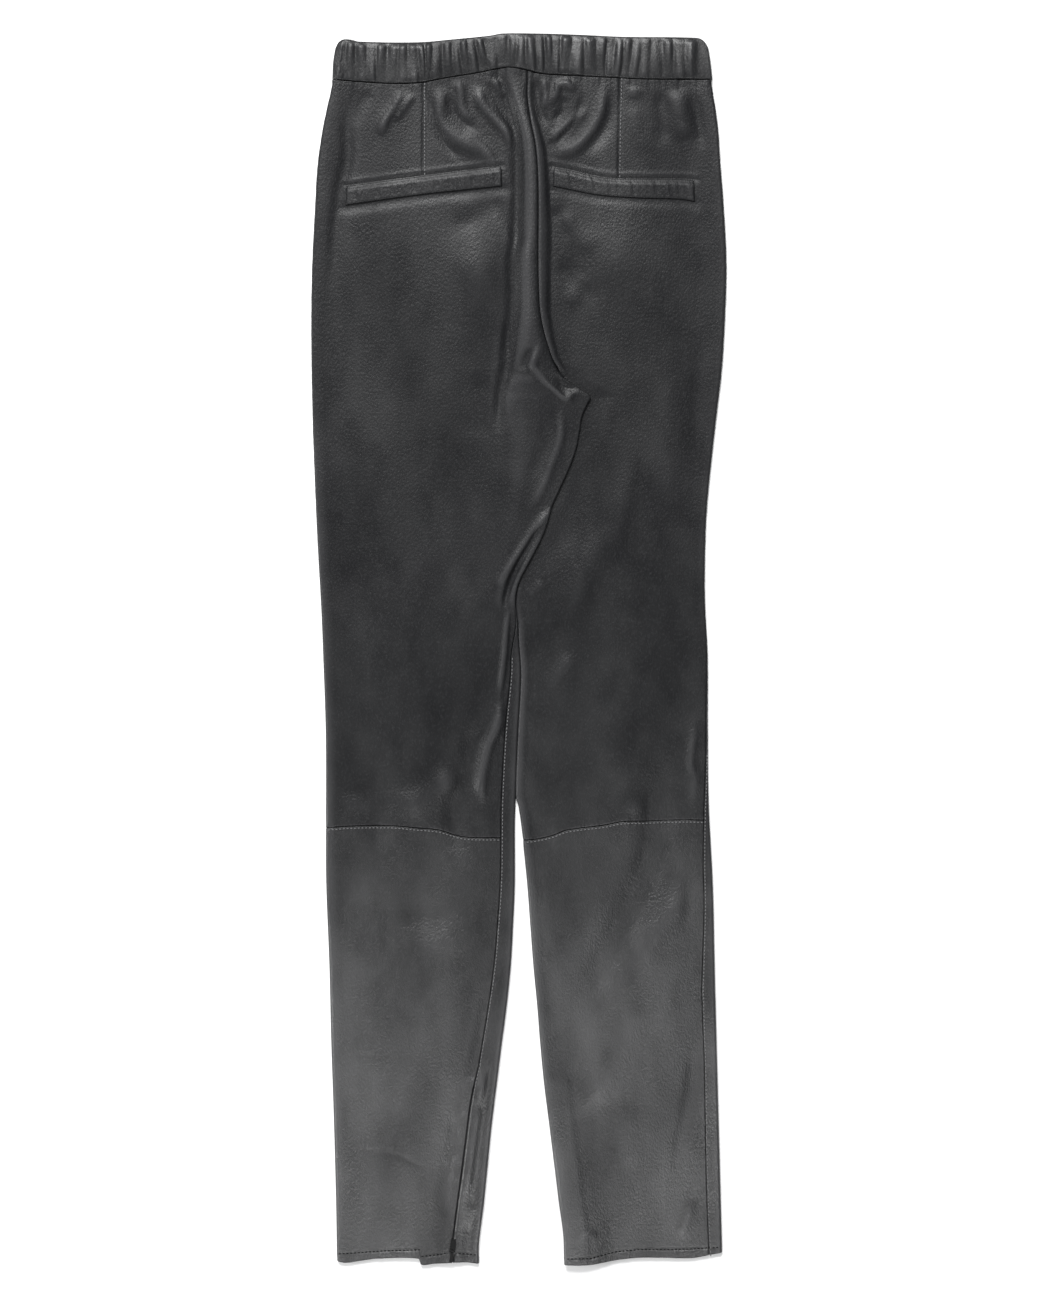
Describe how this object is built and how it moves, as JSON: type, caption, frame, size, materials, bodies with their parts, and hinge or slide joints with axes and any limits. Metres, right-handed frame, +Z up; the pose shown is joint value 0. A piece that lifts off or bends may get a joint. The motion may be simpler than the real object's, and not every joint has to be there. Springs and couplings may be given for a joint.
{
  "type": "leather trousers",
  "caption": "Pull-on stretch leather trousers laid flat with the back up, with a gathered waistband, back pocket welts, knee seams and ankle zips.",
  "frame": {"origin": "middle of the outline, on the surface that the trousers lie on", "axes": "+X across towards the right leg, +Y from the hems up to the waist, +Z up from the surface"},
  "size_m": [0.3512, 1.0413, 0.0096],
  "materials": {
    "leather": "soft sheen",
    "band_leather": "soft sheen",
    "zip_tape": "matte weave",
    "zip_metal": "satin"
  },
  "bodies": {
    "garment": {"back_left_upper": "leather", "back_left_lower": "leather", "front_left": "leather", "pocket_welt_left": "leather", "back_right_upper": "leather", "back_right_lower": "leather", "front_right": "leather", "pocket_welt_right": "leather", "waistband": "band_leather", "zip_tape_left": "zip_tape", "zip_slider_left": "zip_metal", "zip_tape_right": "zip_tape", "zip_slider_right": "zip_metal"},
    "pull_tab_left": {"zip_pull_tab_left": "zip_metal"},
    "pull_tab_right": {"zip_pull_tab_right": "zip_metal"}
  },
  "joints": [
    {"name": "pull_tab_left_hinge", "type": "hinge", "parent": "garment", "child": "pull_tab_left", "pos_m": [-0.05586, -0.5083, 0.00651], "axis": [-0.9923, 0.1242, 0], "range_deg": [0, 145]},
    {"name": "pull_tab_right_hinge", "type": "hinge", "parent": "garment", "child": "pull_tab_right", "pos_m": [0.0492, -0.5083, 0.0015], "axis": [0.9939, 0.1105, 0], "range_deg": [-10, 135]}
  ]
}
